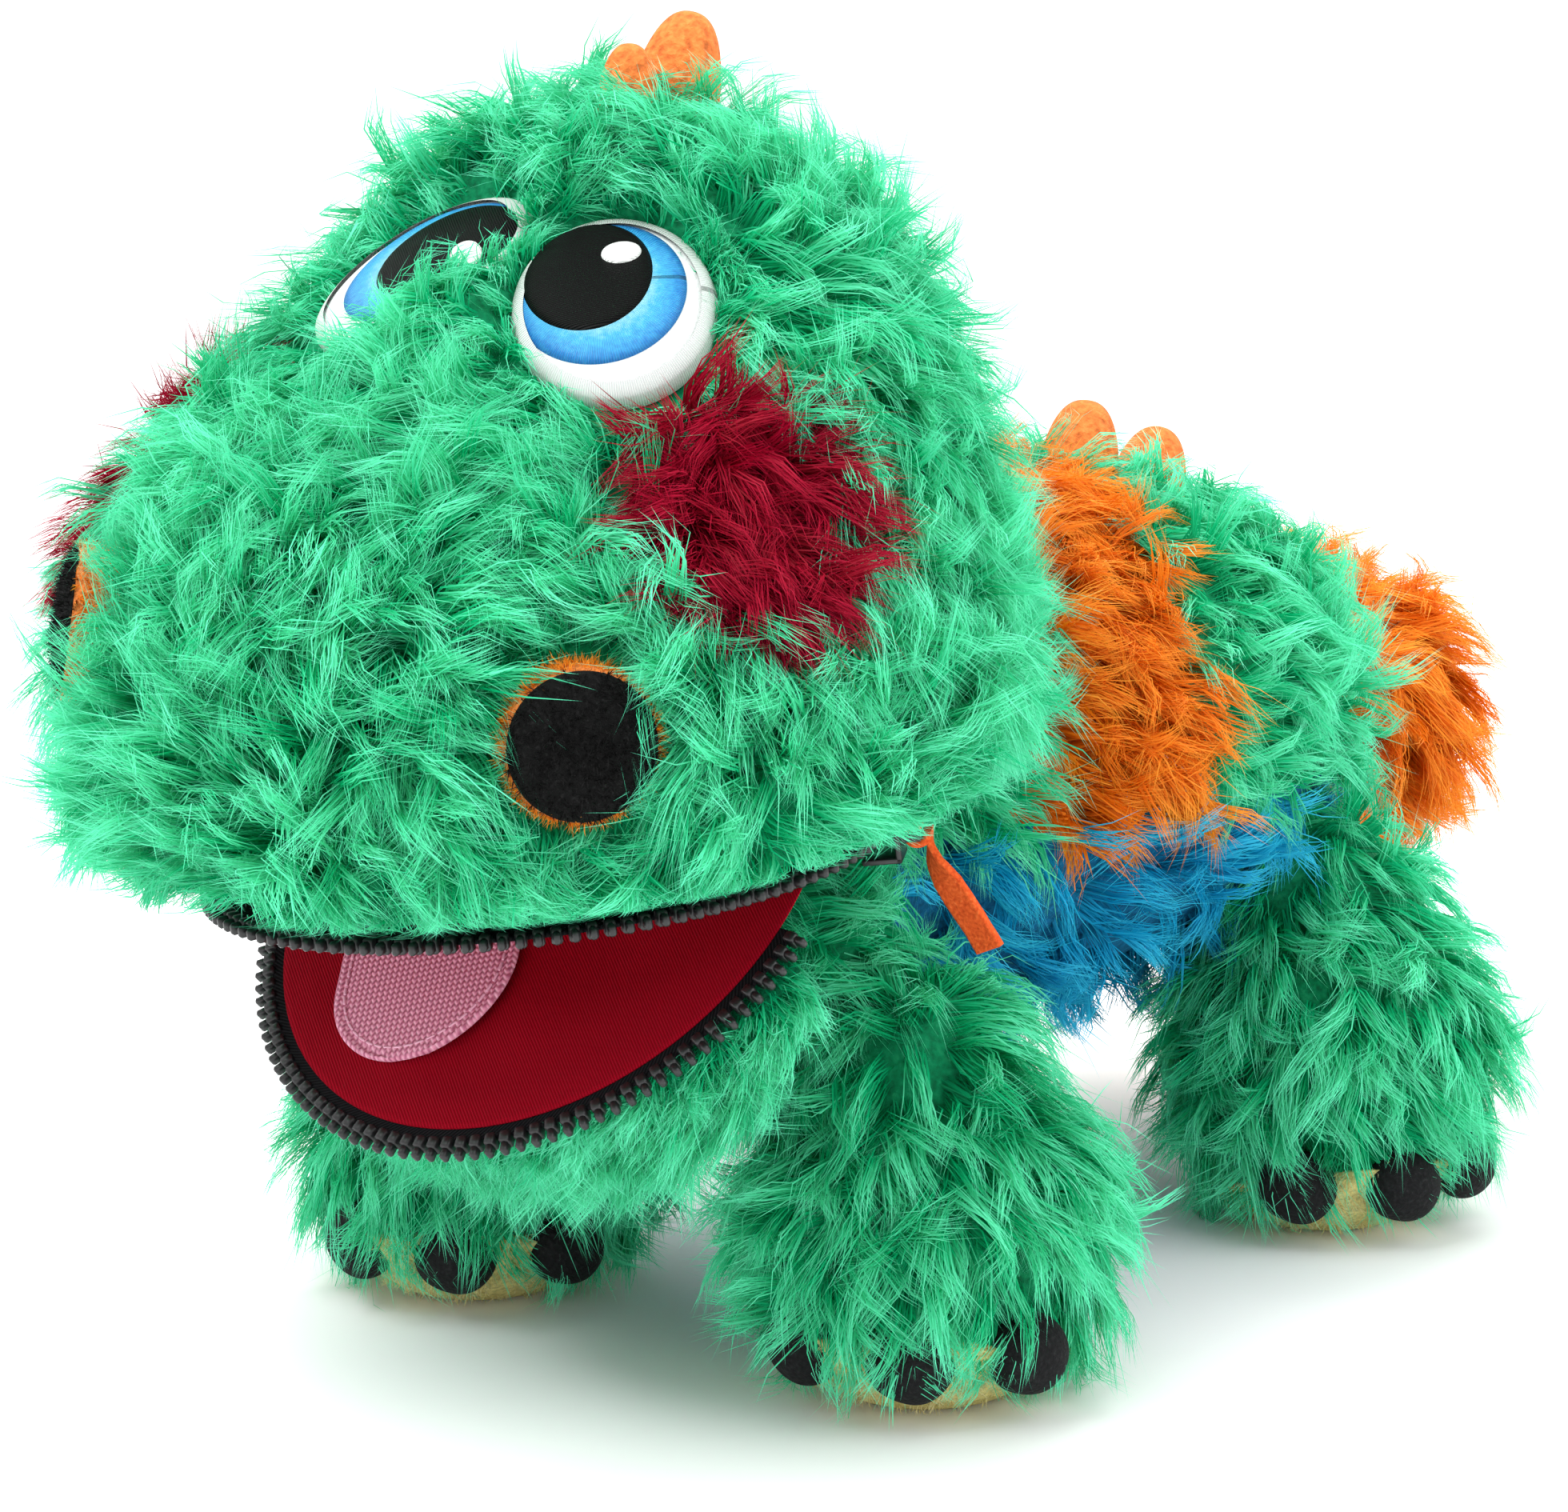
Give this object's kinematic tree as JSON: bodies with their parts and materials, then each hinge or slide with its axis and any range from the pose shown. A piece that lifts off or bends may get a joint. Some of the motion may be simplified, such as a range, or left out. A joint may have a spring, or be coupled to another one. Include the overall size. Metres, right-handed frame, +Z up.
{
  "type": "moving mouth puppet",
  "caption": "Long-haired plush creature on four feet, with a zip-edged mouth that opens, a webbing tongue, a felt pull tab and sprung legs.",
  "frame": {"origin": "on the floor under the middle of the length and width, where the four soles stand", "axes": "+Z up, -Y towards the nose, +X towards its left side"},
  "size_m": [0.197, 0.405, 0.2469],
  "materials": {
    "black_plush": "short pile",
    "blue_pile": "long curly pile",
    "cream_plush": "short pile",
    "crimson_pile": "long straight pile",
    "eye_felt": "felt with a satin edge",
    "green_pile": "long curly pile",
    "iris_thread": "satin stitch",
    "lining": "twill",
    "orange_pile": "long curly pile",
    "orange_plush": "short pile",
    "pupil_thread": "fill stitch",
    "red_plush": "short dotted plush",
    "slider_metal": "black enamel",
    "stuffing": "loose polyester filling",
    "tab_felt": "felt",
    "toe_plush": "short pile",
    "tongue_webbing": "ribbed webbing",
    "white_thread": "fill stitch",
    "zip_plastic": "moulded",
    "zip_tape": "woven"
  },
  "bodies": {
    "body": {"back_nub_front": "red_plush", "back_nub_rear": "red_plush", "belly_panel": "blue_pile", "cheek_left": "crimson_pile", "cheek_right": "crimson_pile", "chest_stuffing": "stuffing", "eye_highlight_left": "white_thread", "eye_highlight_right": "white_thread", "eye_iris_left": "iris_thread", "eye_iris_right": "iris_thread", "eye_patch_left": "eye_felt", "eye_patch_right": "eye_felt", "eye_pupil_left": "pupil_thread", "eye_pupil_right": "pupil_thread", "head_nub_front": "red_plush", "head_nub_rear": "red_plush", "head_skin": "green_pile", "head_stuffing": "stuffing", "nostril_band_left": "orange_plush", "nostril_band_right": "orange_plush", "nostril_disc_left": "black_plush", "nostril_disc_right": "black_plush", "palate_lining": "lining", "pocket_fold": "lining", "rump_panel": "green_pile", "shoulder_panel": "green_pile", "tail_skin": "orange_pile", "tail_stuffing": "stuffing", "throat_panel": "green_pile", "torso_band": "orange_pile", "torso_stuffing": "stuffing", "zip_stops": "zip_plastic", "zip_tape_upper": "zip_tape", "zip_teeth_upper": "zip_plastic"},
    "jaw": {"floor_lining": "lining", "jaw_skin": "green_pile", "jaw_stuffing": "stuffing", "zip_tape_lower": "zip_tape", "zip_teeth_lower": "zip_plastic"},
    "slider": {"slider": "slider_metal", "slider_bail": "slider_metal"},
    "pull_tab": {"pull_tab": "tab_felt"},
    "tongue": {"tongue": "tongue_webbing"},
    "leg_front_left": {"leg_skin_front_left": "green_pile", "leg_stuffing_front_left": "stuffing", "sole_front_left": "cream_plush", "toes_front_left": "toe_plush"},
    "leg_front_right": {"leg_skin_front_right": "green_pile", "leg_stuffing_front_right": "stuffing", "sole_front_right": "cream_plush", "toes_front_right": "toe_plush"},
    "leg_rear_left": {"leg_skin_rear_left": "green_pile", "leg_stuffing_rear_left": "stuffing", "sole_rear_left": "cream_plush", "toes_rear_left": "toe_plush"},
    "leg_rear_right": {"leg_skin_rear_right": "green_pile", "leg_stuffing_rear_right": "stuffing", "sole_rear_right": "cream_plush", "toes_rear_right": "toe_plush"}
  },
  "joints": [
    {"name": "jaw_hinge", "type": "hinge", "parent": "body", "child": "jaw", "pos_m": [0, -0.1185, 0.0985], "axis": [0.9976, 0, 0.0698], "range_deg": [-39, 6]},
    {"name": "zip_travel", "type": "hinge", "parent": "body", "child": "slider", "pos_m": [0, -0.1185, 0.0985], "axis": [0.0694, 0.0941, -0.9931], "range_deg": [0, 216]},
    {"name": "tab_swing", "type": "hinge", "parent": "slider", "child": "pull_tab", "pos_m": [0.05828, -0.08747, 0.10552], "axis": [0.4741, -0.879, -0.0501], "range_deg": [0, 50]},
    {"name": "tongue_lift", "type": "hinge", "parent": "jaw", "child": "tongue", "pos_m": [-0.01948, -0.12516, 0.09039], "axis": [-0.9337, -0.2208, -0.282], "range_deg": [0, 20], "stiffness_Nm_per_rad": 0.004},
    {"name": "front_left_leg_swing", "type": "hinge", "parent": "body", "child": "leg_front_left", "pos_m": [0.053, -0.0755, 0.058], "axis": [1, 0, 0], "range_deg": [-8, 8], "stiffness_Nm_per_rad": 2},
    {"name": "front_right_leg_swing", "type": "hinge", "parent": "body", "child": "leg_front_right", "pos_m": [-0.053, -0.0755, 0.058], "axis": [1, 0, 0], "range_deg": [-8, 8], "stiffness_Nm_per_rad": 2},
    {"name": "rear_left_leg_swing", "type": "hinge", "parent": "body", "child": "leg_rear_left", "pos_m": [0.06, 0.0605, 0.066], "axis": [1, 0, 0], "range_deg": [-8, 8], "stiffness_Nm_per_rad": 2},
    {"name": "rear_right_leg_swing", "type": "hinge", "parent": "body", "child": "leg_rear_right", "pos_m": [-0.06, 0.0605, 0.066], "axis": [1, 0, 0], "range_deg": [-8, 8], "stiffness_Nm_per_rad": 2}
  ]
}
